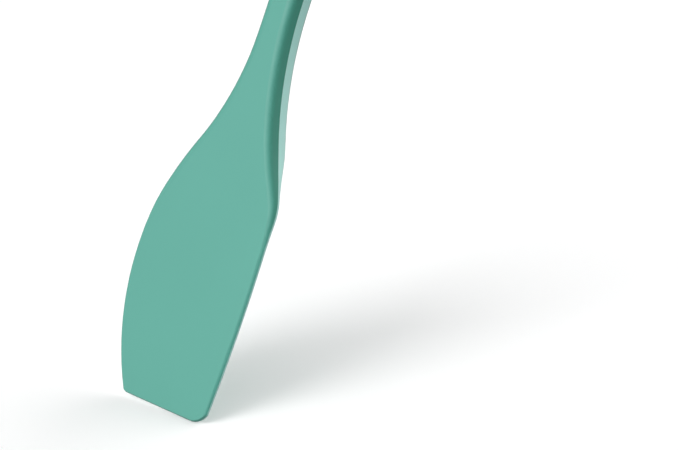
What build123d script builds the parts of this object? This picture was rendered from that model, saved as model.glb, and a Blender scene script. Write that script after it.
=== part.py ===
from build123d import *
import math
import os

# Silicone spatula, millimetres.
# It hangs by its hole: the origin is the centre of that hole, +Z runs up to the end of the handle,
# the blade hangs down, the flat working face looks to -Y, and the straight edge of the blade is on +X.

os.makedirs("parts", exist_ok=True)

# Overall sizes. Heights are measured up from the scraping edge at the tip.
overall_length = 285.0
blade_width = 60.0
blade_offset = 1.5
neck_width = 15.8
grip_width = 22.0
grip_length = 28.0

# Curved side of the blade: a belly of two arcs, then a hollow arc up to the neck.
belly_height = 56.5
belly_low_radius = 101.0
belly_high_radius = 107.5
neck_left_radius = 98.0

# Straight side of the blade: a very flat bow, then a rounded shoulder and a flank up to the neck.
bow_radius = 700.0
bow_height = 42.0
shoulder_height = 79.0
shoulder_radius = 26.0
shoulder_angle = 26.5
flank_length = 8.8

# Corners of the scraping edge, and how far the shape that trims them splays away from the sides.
tip_right_radius = 7.5
tip_left_radius = 4.0
trim_splay = 8.0

# Thickness: from the flat face down a slanted facet, then a straight band, then a facet again.
# Over the heel the facets deepen first, and the band between them a little higher up.
facet_angle = 57.0
tip_facet = 0.7
blade_facet = 0.8
handle_facet = 3.85
tip_band = 0.8
blade_band = 0.9
handle_band = 4.3
heel_height = 67.0
heel_band_height = 87.0
heel_end_height = 108.0

# The flat faces roll over into the facets at this radius, or on a shallow facet at a share of the
# radius that would use up the whole facet.
facet_round = 4.4
full_round_share = 0.9
face_skim = 0.02

# Hanging hole through the end of the handle.
hang_hole_radius = 4.0
hang_hole_chamfer = 0.8

# Stiff core inside the silicone.
core_skin = 1.25
core_blade_thickness = 1.6
core_handle_thickness = 6.0
core_bar_width = 9.0
core_inset = 9.0
core_start_share = 0.4
core_joggle_share = 0.76
core_joggle_lead = 8.0
core_corner_radius = 4.0
eyelet_liner = 1.5
eyelet_wall = 3.0

# Holes in the core that the silicone flows through, which lock the two together.
paddle_hole_radius = 3.0
paddle_hole_pitch_share = 0.22
paddle_hole_rise = 9.0
paddle_hole_count = 2
bar_hole_radius = 1.8
bar_hole_pitch = 26.0
bar_hole_height = 126.0
bar_hole_margin = 8.0

# Spacing of the sections that the body is lofted through, closer over the heel, how far the loft runs past
# the round end's centre, the step over which a side's slope is read, and one overrun for every cut.
section_spacing = 8.0
heel_spacing = 5.0
loft_lead = 16.0
slope_step = 0.5
overrun = 4.0

handle_thickness = 2 * handle_facet + handle_band
face_y = -handle_thickness / 2
end_radius = grip_width / 2
tip_z = end_radius - overall_length
end_height = overall_length - end_radius
grip_height = end_height - grip_length
belly_reach = blade_width / 2 - blade_offset
straight_reach = blade_width / 2 + blade_offset
half_neck = neck_width / 2


def up(height):
    """Z of a place at this height above the scraping edge."""
    return tip_z + height


# Angles of the outline's arcs, worked out so that each arc leaves the last one without a corner.
radii_sum = belly_high_radius + neck_left_radius
neck_lean = math.degrees(math.acos((radii_sum - belly_reach + half_neck) / radii_sum))
neck_left_height = belly_height + radii_sum * math.sin(math.radians(neck_lean))
belly_low_angle = math.degrees(math.asin((belly_height + overrun) / belly_low_radius))
bow_low_angle = math.degrees(math.asin((bow_height + overrun) / bow_radius))
bow_high_angle = math.degrees(math.asin((shoulder_height - bow_height) / bow_radius))

with BuildSketch(Plane.XZ) as planform:
    with BuildLine():
        belly_low = CenterArc(
            (belly_low_radius - belly_reach, up(belly_height)), belly_low_radius, 180, belly_low_angle
        )
        belly_high = CenterArc(
            (belly_high_radius - belly_reach, up(belly_height)), belly_high_radius, 180, -neck_lean
        )
        neck_left = CenterArc(
            (-half_neck - neck_left_radius, up(neck_left_height)), neck_left_radius, 0, -neck_lean
        )
        bow = CenterArc(
            (straight_reach - bow_radius, up(bow_height)),
            bow_radius,
            -bow_low_angle,
            bow_low_angle + bow_high_angle,
        )
        shoulder = JernArc(bow @ 1, bow % 1, shoulder_radius, shoulder_angle - bow_high_angle)
        flank = Line(shoulder @ 1, (shoulder @ 1) + flank_length * (shoulder % 1))
        neck_right_radius = ((flank @ 1).X - half_neck) / (1 - math.cos(math.radians(shoulder_angle)))
        neck_right = JernArc(flank @ 1, flank % 1, neck_right_radius, -shoulder_angle)
        grip_left = Spline(neck_left @ 0, (-end_radius, up(grip_height)), tangents=[(0, 1), (0, 1)])
        grip_right = Spline(neck_right @ 1, (end_radius, up(grip_height)), tangents=[(0, 1), (0, 1)])
        Polyline(grip_left @ 1, (-end_radius, 2 * loft_lead), (end_radius, 2 * loft_lead), grip_right @ 1)
        Line(belly_low @ 1, bow @ 0)
    make_face()
outline = planform.sketch_local.face()


def sides_at(height):
    """X of the left and the right side at this height above the scraping edge."""
    across = Edge.make_line((-blade_width, up(height)), (blade_width, up(height)))
    span = outline.intersect(across)[0].bounding_box()
    return span.min.X, span.max.X


def eased(height, low, tip_size, blade_size, handle_size):
    """A size that grows evenly up the blade to height low, then eases over to the handle's."""
    blade_share = min(height / low, 1)
    heel_share = min(max((height - low) / (heel_end_height - low), 0), 1)
    blend = heel_share * heel_share * (3 - 2 * heel_share)
    return tip_size + (blade_size - tip_size) * blade_share + (handle_size - blade_size) * blend


def thickness_at(height):
    """Depth of one slanted facet and height of the straight band at this height."""
    facet = eased(height, heel_height, tip_facet, blade_facet, handle_facet)
    band = eased(height, heel_band_height, tip_band, blade_band, handle_band)
    return facet, band


def body_section(height):
    """Faceted outline of the body at this height, its flat faces proud by face_skim, which is cut off."""
    left, right = sides_at(height)
    left_low, right_low = sides_at(height - slope_step)
    left_high, right_high = sides_at(height + slope_step)
    facet, band = thickness_at(height)
    facet_run = (facet + face_skim) / math.tan(math.radians(facet_angle))
    full_round = facet / (1 - math.cos(math.radians(facet_angle)))
    left_run = facet_run * math.hypot(1, (left_high - left_low) / (2 * slope_step))
    right_run = facet_run * math.hypot(1, (right_high - right_low) / (2 * slope_step))
    crease_y = face_y + facet
    front_y = face_y - face_skim
    back_y = crease_y + band + facet + face_skim
    with BuildSketch(Plane.XY.offset(up(height))) as section:
        with BuildLine():
            Polyline(
                (left, crease_y),
                (left + left_run, front_y),
                (right - right_run, front_y),
                (right, crease_y),
                (right, crease_y + band),
                (right - right_run, back_y),
                (left + left_run, back_y),
                (left, crease_y + band),
                close=True,
            )
        make_face()
        corners = section.vertices().group_by(Axis.Y)
        fillet(corners[0] + corners[-1], min(facet_round, full_round_share * full_round))
    return section.sketch


def spaced(low, high, spacing):
    """Evenly spaced heights from low up to just below high."""
    steps = math.ceil((high - low) / spacing)
    return [low + (high - low) * step / steps for step in range(steps)]


def trim_section(depth, inset):
    """Outline of the trimming shape in the plane at this depth, with all its sides drawn in by inset."""
    left_inset = inset * math.hypot(1, trim_left_slope)
    right_inset = inset * math.hypot(1, trim_right_slope)
    with BuildSketch(Plane.XZ.offset(-depth)) as section:
        with BuildLine():
            Polyline(
                (tip_left - inset * trim_left_slope + left_inset, tip_z + inset),
                (tip_right + inset * trim_right_slope - right_inset, tip_z + inset),
                (tip_right + overall_length * trim_right_slope - right_inset, end_radius + overrun),
                (tip_left - overall_length * trim_left_slope + left_inset, end_radius + overrun),
                close=True,
            )
        make_face()
        corners = section.vertices().group_by(Axis.Y)[0].sort_by(Axis.X)
        fillet(corners[0], tip_left_radius - inset)
        corners = section.vertices().group_by(Axis.Y)[0].sort_by(Axis.X)
        fillet(corners[-1], tip_right_radius - inset)
    return section.sketch


# Trimming shape for the scraping edge: its rounded corners, with the same slanted facets all round.
trim_right_slope = math.tan(math.radians(trim_splay))
trim_left_slope = math.tan(math.radians(belly_low_angle)) + trim_right_slope
trim_depth = 2 * blade_facet
trim_inset = trim_depth / math.tan(math.radians(facet_angle))
tip_left, tip_right = sides_at(0)
tip_crease_y = face_y + tip_facet
with BuildPart() as trim:
    loft(
        [
            trim_section(tip_crease_y - trim_depth, trim_inset),
            trim_section(tip_crease_y, 0),
            trim_section(tip_crease_y + tip_band, 0),
            trim_section(tip_crease_y + tip_band + trim_depth, trim_inset),
            trim_section(handle_thickness, trim_inset),
        ],
        ruled=True,
    )

# Stiff core: a thin paddle in the heel, a bar up the handle and an eyelet round the hanging hole.
eyelet_radius = hang_hole_radius + eyelet_liner + eyelet_wall
core_height = heel_height + core_start_share * (heel_end_height - heel_height)
core_joggle_height = heel_height + core_joggle_share * (heel_end_height - heel_height)
core_bar_height = heel_end_height + core_joggle_lead
paddle_hole_pitch = paddle_hole_pitch_share * blade_width
paddle_front_y = face_y + core_skin
paddle_back_y = paddle_front_y + core_blade_thickness
half_bar = core_handle_thickness / 2
with BuildPart() as core:
    with BuildSketch(Plane.XZ.offset(handle_thickness)):
        add(outline)
        paddle_top = up(heel_end_height + core_inset)
        paddle_low = up(core_height - core_inset)
        with Locations((0, (paddle_top + paddle_low) / 2)):
            Rectangle(2 * blade_width, paddle_top - paddle_low, mode=Mode.INTERSECT)
        offset(amount=-core_inset - core_corner_radius, mode=Mode.REPLACE)
        offset(amount=core_corner_radius, mode=Mode.REPLACE)
        with Locations((0, up(heel_end_height - core_joggle_lead) / 2)):
            Rectangle(core_bar_width, -up(heel_end_height - core_joggle_lead))
        Circle(eyelet_radius)
    extrude(amount=-2 * handle_thickness)
    with BuildSketch(Plane.YZ) as core_profile:
        with BuildLine():
            Polyline(
                (paddle_front_y, up(core_height)),
                (paddle_front_y, up(core_joggle_height)),
                (-half_bar, up(core_bar_height)),
                (-half_bar, end_radius),
                (half_bar, end_radius),
                (half_bar, up(core_bar_height)),
                (paddle_back_y, up(core_joggle_height - core_joggle_lead)),
                (paddle_back_y, up(core_height)),
                close=True,
            )
        make_face()
    extrude(amount=blade_width, both=True, mode=Mode.INTERSECT)
    bar_hole_room = end_height - eyelet_radius - bar_hole_margin - bar_hole_height
    bar_hole_count = 1 + math.floor(bar_hole_room / bar_hole_pitch)
    with BuildSketch(Plane.XZ.offset(handle_thickness)) as key_holes:
        Circle(hang_hole_radius + eyelet_liner)
        with Locations((blade_offset, up(core_height + paddle_hole_rise))):
            with GridLocations(paddle_hole_pitch, paddle_hole_pitch, paddle_hole_count, 1):
                Circle(paddle_hole_radius)
        with Locations((0, up(bar_hole_height + bar_hole_pitch * (bar_hole_count - 1) / 2))):
            with GridLocations(bar_hole_pitch, bar_hole_pitch, 1, bar_hole_count):
                Circle(bar_hole_radius)
    extrude(amount=-2 * handle_thickness, mode=Mode.SUBTRACT)
core.part.label = "core"
export_step(core.part, "parts/core.step")

# Silicone body, moulded round the core: blade, heel and neck, grip, and the round end of the handle.
with BuildPart() as silicone_body:
    section_heights = spaced(0, heel_height, section_spacing)
    section_heights += spaced(heel_height, heel_end_height, heel_spacing)
    section_heights += spaced(heel_end_height, end_height, section_spacing)
    section_heights += spaced(end_height, end_height + loft_lead, section_spacing)
    loft([body_section(height) for height in section_heights])
    split(bisect_by=Plane.XY, keep=Keep.BOTTOM)
    add(trim.part, mode=Mode.INTERSECT)
    with BuildSketch(Plane.XY) as end_section:
        add(body_section(end_height))
        split(bisect_by=Plane.YZ)
    revolve(axis=Axis.Y, revolution_arc=-180)
    with BuildSketch(Plane.XZ):
        Rectangle(2 * blade_width, 2 * overall_length)
    extrude(amount=handle_thickness / 2, both=True, mode=Mode.INTERSECT)
    with BuildSketch(Plane.XZ):
        Circle(hang_hole_radius)
    extrude(amount=handle_thickness, both=True, mode=Mode.SUBTRACT)
    hole_rims = silicone_body.edges().filter_by(GeomType.CIRCLE).filter_by(lambda rim: rim.is_closed)
    chamfer(hole_rims, hang_hole_chamfer)
    add(core.part, mode=Mode.SUBTRACT)
silicone_body.part.label = "silicone_body"
export_step(silicone_body.part, "parts/silicone_body.step")
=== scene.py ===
"""Looks of a one-piece silicone spatula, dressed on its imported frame, in metres."""

import logging
import math
from dataclasses import dataclass
from enum import Enum

import bpy
from mathutils import Matrix, Vector

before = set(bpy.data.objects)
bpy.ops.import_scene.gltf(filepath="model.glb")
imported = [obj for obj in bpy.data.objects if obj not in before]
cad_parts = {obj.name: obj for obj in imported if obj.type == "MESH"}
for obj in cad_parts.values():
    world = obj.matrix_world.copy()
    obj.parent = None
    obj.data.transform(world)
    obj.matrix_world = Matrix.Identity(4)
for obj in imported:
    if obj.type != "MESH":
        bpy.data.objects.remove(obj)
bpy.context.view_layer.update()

LOG = logging.getLogger("silicone_spatula")
MM = 0.001

# Numbers of the colour sockets of a Mix node, whose names its number and vector sockets share.
MIX_A, MIX_B, MIX_RESULT = 6, 7, 2


def linear(hex_colour: str) -> tuple[float, float, float, float]:
    """Turns an sRGB hex colour to linear.

    Args:
        hex_colour: six hex digits, without a hash sign.

    Returns:
        Linear red, green, blue and an alpha of one.
    """
    channels = [int(hex_colour[i : i + 2], 16) / 255 for i in (0, 2, 4)]
    red, green, blue = (
        c / 12.92 if c <= 0.04045 else ((c + 0.055) / 1.055) ** 2.4 for c in channels
    )
    return red, green, blue, 1.0


def add_node(
    tree: bpy.types.NodeTree,
    kind: str,
    settings: dict[str | int, object] | None = None,
    links: dict[str | int, bpy.types.NodeSocket] | None = None,
) -> bpy.types.Node:
    """Adds one node to a tree, with its settings and its links.

    Args:
        tree: the tree that gets the node.
        kind: Blender's name for the node's type.
        settings: values by name or number of an input socket, or else by the node's own property.
        links: output sockets by name or number of the input socket that they feed.

    Returns:
        The new node.
    """
    node = tree.nodes.new(kind)
    for name, value in (settings or {}).items():
        if isinstance(name, int) or name in node.inputs:
            node.inputs[name].default_value = value
        else:
            setattr(node, name, value)
    for name, output in (links or {}).items():
        tree.links.new(output, node.inputs[name])
    return node


def empty_material(name: str) -> bpy.types.Material:
    """Makes a material whose node tree is empty.

    Args:
        name: the material's name.

    Returns:
        The new material.
    """
    material = bpy.data.materials.new(name)
    material.use_nodes = True
    material.node_tree.nodes.clear()
    return material


@dataclass(frozen=True)
class MouldedSilicone:
    """Food-grade silicone rubber from a spark-eroded mould.

    It looks soft and matt, with a pale haze at a slant. The slanted facets are given a deeper tone
    than the flat faces, a painted shade, and the band round the side a paler one, a painted sheen,
    so each has its own tone.
    """

    colour: str = "5cad9d"
    cloud: str = "56a898"
    cloud_mm: float = 45.0
    cloud_detail: float = 2.0
    # Painted shade: the facets' deeper tone stands in for the light they lack.
    facet: str = "3f8c7a"
    # Painted sheen: the side band's paler tone stands in for the light it catches.
    band: str = "b0e8df"
    # How squarely a surface faces the front or back, from 0 to 1, where one tone gives way to the
    # next: from the facets' painted shade to the faces' colour, and from the band's painted sheen
    # to the facets' painted shade.
    facet_to_face: tuple[float, float] = (0.6, 0.97)
    band_to_facet: tuple[float, float] = (0.1, 0.4)
    # Heights down the heel over which the facets' painted shade fades out.
    heel_high_mm: float = -186.0
    heel_low_mm: float = -206.0
    ior: float = 1.41
    roughness: float = 0.46
    roughness_spread: float = 0.05
    grain_mm: float = 0.45
    grain_detail: float = 3.0
    grain_harshness: float = 0.6
    grain_strength: float = 0.35
    grain_depth_mm: float = 0.006
    haze: float = 0.3
    haze_roughness: float = 0.5
    haze_tint: str = "f2fbf8"

    def mix_tones_shade_and_sheen(
        self, tree: bpy.types.NodeTree, coords: bpy.types.Node, cloud: bpy.types.NodeSocket
    ) -> bpy.types.NodeSocket:
        """Gives the flat faces their colour, and paints shade on the slanted facets and sheen on
        the side band.

        Args:
            tree: the material's tree.
            coords: the node that gives each point's place and direction in the part's frame.
            cloud: the slow drift between the two colours of the faces.

        Returns:
            The colour at each point, with the painted shade and sheen.
        """
        face = add_node(
            tree,
            "ShaderNodeMix",
            {"data_type": "RGBA", MIX_A: linear(self.cloud), MIX_B: linear(self.colour)},
            {"Factor": cloud},
        )
        # The flat faces look along Y, so the Y share of a direction says how squarely it faces.
        direction = add_node(tree, "ShaderNodeSeparateXYZ", links={0: coords.outputs["Normal"]})
        squareness = add_node(
            tree, "ShaderNodeMath", {"operation": "ABSOLUTE"}, {0: direction.outputs["Y"]}
        ).outputs[0]
        place = add_node(tree, "ShaderNodeSeparateXYZ", links={0: coords.outputs["Object"]})
        heel = (self.heel_high_mm * MM, self.heel_low_mm * MM)
        on_face, off_band, on_blade = (
            add_node(
                tree,
                "ShaderNodeMapRange",
                {"interpolation_type": "SMOOTHSTEP", "From Min": start, "From Max": end},
                {"Value": value},
            ).outputs["Result"]
            for value, (start, end) in (
                (squareness, self.facet_to_face),
                (squareness, self.band_to_facet),
                (place.outputs["Z"], heel),
            )
        )
        # The rim of the blade is hardly deeper than its faces, so the facets' painted shade fades
        # out down the heel.
        off_facet = add_node(
            tree, "ShaderNodeMath", {"operation": "MAXIMUM"}, {0: on_face, 1: on_blade}
        )
        tone = face.outputs[MIX_RESULT]
        # Over the faces' colour go the facets' painted shade and then the band's painted sheen.
        for other, share in ((self.facet, off_facet.outputs[0]), (self.band, off_band)):
            tone = add_node(
                tree,
                "ShaderNodeMix",
                {"data_type": "RGBA", MIX_A: linear(other)},
                {"Factor": share, MIX_B: tone},
            ).outputs[MIX_RESULT]
        return tone

    def raise_grain(
        self, tree: bpy.types.NodeTree, coords: bpy.types.Node
    ) -> bpy.types.NodeSocket:
        """Roughens the surface with the grain of the mould.

        Args:
            tree: the material's tree.
            coords: the node that gives each point's place in the part's frame.

        Returns:
            The grained surface's direction at each point.
        """
        # The real grain is about 0.1 mm, finer than a pixel, so it is drawn coarse enough to show.
        grain = add_node(
            tree,
            "ShaderNodeTexNoise",
            {
                "Scale": 1 / (self.grain_mm * MM),
                "Detail": self.grain_detail,
                "Roughness": self.grain_harshness,
            },
            {"Vector": coords.outputs["Object"]},
        )
        bump = add_node(
            tree,
            "ShaderNodeBump",
            {"Strength": self.grain_strength, "Distance": self.grain_depth_mm * MM},
            {"Height": grain.outputs["Fac"]},
        )
        return bump.outputs["Normal"]

    def build(self) -> bpy.types.Material:
        """Makes the material.

        Returns:
            The silicone material.
        """
        material = empty_material("moulded_silicone")
        tree = material.node_tree
        coords = add_node(tree, "ShaderNodeTexCoord")
        cloud = add_node(
            tree,
            "ShaderNodeTexNoise",
            {"Scale": 1 / (self.cloud_mm * MM), "Detail": self.cloud_detail},
            {"Vector": coords.outputs["Object"]},
        ).outputs["Fac"]
        gloss = add_node(
            tree,
            "ShaderNodeMapRange",
            {
                "To Min": self.roughness - self.roughness_spread,
                "To Max": self.roughness + self.roughness_spread,
            },
            {"Value": cloud},
        )
        shader = add_node(
            tree,
            "ShaderNodeBsdfPrincipled",
            {
                "IOR": self.ior,
                "Sheen Weight": self.haze,
                "Sheen Roughness": self.haze_roughness,
                "Sheen Tint": linear(self.haze_tint),
            },
            {
                "Base Color": self.mix_tones_shade_and_sheen(tree, coords, cloud),
                "Roughness": gloss.outputs["Result"],
                "Normal": self.raise_grain(tree, coords),
            },
        )
        add_node(tree, "ShaderNodeOutputMaterial", links={"Surface": shader.outputs["BSDF"]})
        return material


@dataclass(frozen=True)
class GlassFilledNylon:
    """Injection-moulded nylon with short glass fibre: off-white, satin, faintly streaked."""

    colour: str = "cdc9bd"
    streak: str = "bdb8a9"
    ior: float = 1.53
    roughness: float = 0.5
    fibre_mm: float = 0.3
    fibre_detail: float = 2.0
    flow_stretch: float = 0.08

    def build(self) -> bpy.types.Material:
        """Makes the material.

        Returns:
            The nylon material.
        """
        material = empty_material("glass_filled_nylon")
        tree = material.node_tree
        coords = add_node(tree, "ShaderNodeTexCoord")
        # The fibres lie along the bar, the way the melt flows, so the pattern is drawn out in Z.
        along_flow = add_node(
            tree,
            "ShaderNodeMapping",
            {"Scale": (1.0, 1.0, self.flow_stretch)},
            {"Vector": coords.outputs["Object"]},
        )
        fibre = add_node(
            tree,
            "ShaderNodeTexNoise",
            {"Scale": 1 / (self.fibre_mm * MM), "Detail": self.fibre_detail},
            {"Vector": along_flow.outputs["Vector"]},
        )
        tint = add_node(
            tree,
            "ShaderNodeMix",
            {"data_type": "RGBA", MIX_A: linear(self.streak), MIX_B: linear(self.colour)},
            {"Factor": fibre.outputs["Fac"]},
        )
        shader = add_node(
            tree,
            "ShaderNodeBsdfPrincipled",
            {"IOR": self.ior, "Roughness": self.roughness},
            {"Base Color": tint.outputs[MIX_RESULT]},
        )
        add_node(tree, "ShaderNodeOutputMaterial", links={"Surface": shader.outputs["BSDF"]})
        return material


@dataclass(frozen=True)
class PaintedFloor:
    """Matt white studio paint, clear from below so that views from there still show the part."""

    colour: str = "f0f0f0"
    bounce: str = "8c8c8c"
    lift: float = 0.175

    def build(self) -> bpy.types.Material:
        """Makes the material.

        Returns:
            The floor's material.
        """
        material = empty_material("matt_white_paint")
        tree = material.node_tree
        to_camera = add_node(tree, "ShaderNodeLightPath").outputs["Is Camera Ray"]
        # The part gets less light back from the floor than a paint this white would send.
        shade = add_node(
            tree,
            "ShaderNodeMix",
            {"data_type": "RGBA", MIX_A: linear(self.bounce), MIX_B: linear(self.colour)},
            {"Factor": to_camera},
        )
        paint = add_node(tree, "ShaderNodeBsdfDiffuse", links={"Color": shade.outputs[MIX_RESULT]})
        # The camera alone sees the floor a little brighter than the lamps make it.
        seen = add_node(
            tree, "ShaderNodeMath", {"operation": "MULTIPLY", 1: self.lift}, {0: to_camera}
        )
        glow = add_node(tree, "ShaderNodeEmission", links={"Strength": seen.outputs[0]})
        lit = add_node(
            tree,
            "ShaderNodeAddShader",
            links={0: paint.outputs["BSDF"], 1: glow.outputs["Emission"]},
        )
        side = add_node(tree, "ShaderNodeNewGeometry")
        clear = add_node(tree, "ShaderNodeBsdfTransparent")
        one_sided = add_node(
            tree,
            "ShaderNodeMixShader",
            links={0: side.outputs["Backfacing"], 1: lit.outputs[0], 2: clear.outputs["BSDF"]},
        )
        add_node(tree, "ShaderNodeOutputMaterial", links={"Surface": one_sided.outputs[0]})
        return material


@dataclass(frozen=True)
class PhotoCamera:
    """The viewpoint of the photograph, found by fitting the part's outline to it.

    Angles are in degrees, and aim and distance in metres. The lens and sensor were assumed.
    """

    heading: float = 35.0
    elevation: float = -0.913
    roll: float = 18.776
    distance: float = 0.5801
    aim: tuple[float, float, float] = (0.05816, -0.0031, -0.18749)
    lens_mm: float = 85.0
    sensor_mm: float = 36.0

    def axes(self) -> tuple[Vector, Vector, Vector]:
        """Works out where the camera's own axes point.

        Returns:
            Unit vectors to the camera's right, up, and back from what it looks at.
        """
        heading, elevation, roll = (
            math.radians(a) for a in (self.heading, self.elevation, self.roll)
        )
        back = Vector(
            (
                math.sin(heading) * math.cos(elevation),
                -math.cos(heading) * math.cos(elevation),
                math.sin(elevation),
            )
        )
        level_right = Vector((math.cos(heading), math.sin(heading), 0.0))
        right = Matrix.Rotation(roll, 3, back) @ level_right
        return right, back.cross(right), back

    def build(self) -> bpy.types.Object:
        """Makes the scene's camera.

        Returns:
            The camera.
        """
        right, up, back = self.axes()
        camera = bpy.data.objects.new("photo_camera", bpy.data.cameras.new("photo_camera"))
        camera.data.lens = self.lens_mm
        camera.data.sensor_width = self.sensor_mm
        turn = Matrix((right, up, back)).transposed().to_4x4()
        camera.matrix_world = Matrix.Translation(Vector(self.aim) + self.distance * back) @ turn
        bpy.context.scene.collection.objects.link(camera)
        bpy.context.scene.camera = camera
        return camera


class Lamp(Enum):
    """The studio's soft lamps, each a far, broad source, with angles in degrees."""

    WINDOW = ("key_core", 217.0, 34.0, 34.0, 1.65)
    SOFTBOX = ("key_broad", 215.0, 42.0, 90.0, 1.05)
    LEFT = ("left_fill", 180.0, 40.0, 130.0, 0.6)
    BACK = ("back_fill", 24.0, 14.0, 90.0, 3.5)

    def __init__(
        self, label: str, compass: float, height: float, spread: float, strength: float
    ) -> None:
        """Names the lamp's values.

        Args:
            label: the lamp's name in the scene.
            compass: angle on the floor, from 0 at the right to 90 straight away from the camera.
            height: angle above the floor.
            spread: how wide the lamp looks from the part.
            strength: light on a surface that faces it, in watts per square metre.
        """
        self.label = label
        self.compass = compass
        self.height = height
        self.spread = spread
        self.strength = strength


@dataclass
class Studio:
    """A white floor under the tip, soft lamps and an even surround.

    The camera looks down on the floor by look_down degrees, and floor_size is in metres.
    """

    camera: PhotoCamera
    paint: PaintedFloor = PaintedFloor()
    look_down: float = 19.2
    floor_size: float = 8.0
    surround: float = 0.02
    surround_colour: str = "ffffff"

    def level_axes(self) -> tuple[Vector, Vector, Vector]:
        """Works out how the studio stands in the part's frame.

        Returns:
            Unit vectors to the right along the floor, away from the camera, and straight up.
        """
        right, up, back = self.camera.axes()
        tilt = math.radians(self.look_down)
        above = math.cos(tilt) * up + math.sin(tilt) * back
        return right, above.cross(right), above

    def build_floor(self) -> bpy.types.Object:
        """Lays the floor so that the lowest point of the part touches it.

        Returns:
            The floor.
        """
        right, away, above = self.level_axes()
        points = [v.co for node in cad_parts.values() for v in node.data.vertices]
        lowest = min(points, key=above.dot)
        half = self.floor_size / 2
        corners = [
            lowest + half * (a * right + b * away) for a, b in ((-1, -1), (1, -1), (1, 1), (-1, 1))
        ]
        mesh = bpy.data.meshes.new("studio_floor")
        mesh.from_pydata(corners, [], [(0, 1, 2, 3)])
        mesh.materials.append(self.paint.build())
        floor = bpy.data.objects.new("studio_floor", mesh)
        bpy.context.scene.collection.objects.link(floor)
        return floor

    def build_lamps(self) -> None:
        """Hangs the lamps, each shining on the part from its own direction."""
        right, away, above = self.level_axes()
        for lamp in Lamp:
            compass, height = math.radians(lamp.compass), math.radians(lamp.height)
            along = math.cos(compass) * right + math.sin(compass) * away
            towards = math.cos(height) * along + math.sin(height) * above
            light = bpy.data.lights.new(lamp.label, "SUN")
            light.energy = lamp.strength
            light.angle = math.radians(lamp.spread)
            holder = bpy.data.objects.new(lamp.label, light)
            holder.rotation_mode = "QUATERNION"
            holder.rotation_quaternion = towards.to_track_quat("Z", "Y")
            bpy.context.scene.collection.objects.link(holder)

    def build_surround(self) -> None:
        """Gives the world its faint even light, and a white look to the camera."""
        world = bpy.data.worlds.new("studio_surround")
        world.use_nodes = True
        tree = world.node_tree
        tree.nodes.clear()
        rays = add_node(tree, "ShaderNodeLightPath")
        # To the camera a strength of one is white.
        level = add_node(
            tree,
            "ShaderNodeMapRange",
            {"To Min": self.surround, "To Max": 1.0},
            {"Value": rays.outputs["Is Camera Ray"]},
        )
        glow = add_node(
            tree,
            "ShaderNodeBackground",
            {"Color": linear(self.surround_colour)},
            {"Strength": level.outputs["Result"]},
        )
        add_node(tree, "ShaderNodeOutputWorld", links={"Surface": glow.outputs["Background"]})
        bpy.context.scene.world = world

    def build(self) -> None:
        """Sets up the floor, the lamps and the surround."""
        self.build_floor()
        self.build_lamps()
        self.build_surround()
        bpy.context.scene.view_settings.view_transform = "Standard"


@dataclass
class Spatula:
    """The two mouldings of the spatula, which keep the CAD's shapes as they are."""

    silicone_body: MouldedSilicone = MouldedSilicone()
    core: GlassFilledNylon = GlassFilledNylon()

    def dress(self) -> dict[str, bpy.types.Material]:
        """Gives each moulding its finish all over.

        Returns:
            Each moulding's material, by the name of its CAD node.
        """
        finishes = {
            "silicone_body": self.silicone_body.build(),
            "core": self.core.build(),
        }
        for name, material in finishes.items():
            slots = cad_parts[name].data.materials
            slots.clear()
            slots.append(material)
        return finishes


def main() -> None:
    """Builds the camera and the studio, dresses the spatula and reports each piece."""
    logging.basicConfig(level=logging.INFO, format="%(name)s: %(message)s")
    camera = PhotoCamera()
    camera.build()
    Studio(camera).build()
    for name, material in Spatula().dress().items():
        LOG.info("%s dressed in %s", name, material.name)


if __name__ == "__main__":
    main()
